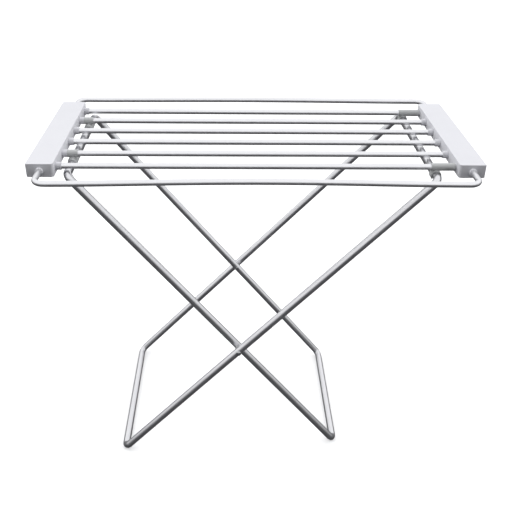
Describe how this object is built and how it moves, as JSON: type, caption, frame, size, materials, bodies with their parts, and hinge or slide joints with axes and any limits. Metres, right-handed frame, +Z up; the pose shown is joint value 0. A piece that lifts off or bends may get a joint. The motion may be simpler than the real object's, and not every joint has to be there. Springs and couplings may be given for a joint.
{
  "type": "clothes drying rack",
  "caption": "Freestanding drying rack: parallel metal bars between two plastic end housings, carried on crossed bent-tube leg frames joined by rivets.",
  "frame": {"origin": "on the floor, under the middle of the rack", "axes": "+X along the bars towards the housing with the two snap clips, +Y across the bars towards the rear, +Z up"},
  "size_m": [0.73, 0.4132, 0.6035],
  "materials": {
    "bar_metal": "satin, pale silver",
    "leg_metal": "satin, silver-grey coated",
    "housing_plastic": "fine moulded texture, pale lavender-grey",
    "clip_plastic": "matte grey moulding",
    "fastener_steel": "zinc plated",
    "heater_sheath": "silicone sheath",
    "carrier_plastic": "natural nylon"
  },
  "bodies": {
    "outer_frame": {"leg_frame_outer": "leg_metal", "pivot_spacer_front": "clip_plastic", "pivot_spacer_rear": "clip_plastic", "rivet_front": "fastener_steel", "rivet_rear": "fastener_steel"},
    "deck": {"bush_left_1": "housing_plastic", "bush_left_2": "housing_plastic", "bush_left_3": "housing_plastic", "bush_left_4": "housing_plastic", "bush_left_5": "housing_plastic", "bush_left_6": "housing_plastic", "bush_right_1": "housing_plastic", "bush_right_2": "housing_plastic", "bush_right_3": "housing_plastic", "bush_right_4": "housing_plastic", "bush_right_5": "housing_plastic", "bush_right_6": "housing_plastic", "cable_gland": "clip_plastic", "collar_front_left": "housing_plastic", "collar_front_right": "housing_plastic", "collar_rear_left": "housing_plastic", "collar_rear_right": "housing_plastic", "cover_screw_left_1": "fastener_steel", "cover_screw_left_2": "fastener_steel", "cover_screw_left_3": "fastener_steel", "cover_screw_right_1": "fastener_steel", "cover_screw_right_2": "fastener_steel", "cover_screw_right_3": "fastener_steel", "heater_core_1": "heater_sheath", "heater_core_2": "heater_sheath", "heater_core_3": "heater_sheath", "heater_core_4": "heater_sheath", "heater_core_5": "heater_sheath", "heater_core_6": "heater_sheath", "hook_clip_front": "clip_plastic", "hook_clip_rear": "clip_plastic", "housing_cover_left": "housing_plastic", "housing_cover_right": "housing_plastic", "housing_shell_left": "housing_plastic", "housing_shell_right": "housing_plastic", "inner_bar_1": "bar_metal", "inner_bar_2": "bar_metal", "inner_bar_3": "bar_metal", "inner_bar_4": "bar_metal", "inner_bar_5": "bar_metal", "inner_bar_6": "bar_metal", "outer_bar_front": "bar_metal", "outer_bar_rear": "bar_metal", "snap_clip_front": "clip_plastic", "snap_clip_rear": "clip_plastic", "wiring_carrier_left": "carrier_plastic", "wiring_carrier_right": "carrier_plastic"},
    "inner_frame": {"leg_frame_inner": "leg_metal"}
  },
  "joints": [
    {"name": "deck_lift", "type": "hinge", "parent": "outer_frame", "child": "deck", "pos_m": [0.29, 0, 0.5785], "axis": [0, 1, 0], "range_deg": [0, 82]},
    {"name": "scissor_close", "type": "hinge", "parent": "outer_frame", "child": "inner_frame", "pos_m": [-0.02986, 0, 0.23976], "axis": [0, 1, 0], "range_deg": [0, 82]}
  ],
  "couplings": [
    {"joint": "scissor_close", "follows": "deck_lift", "ratio": 1}
  ]
}
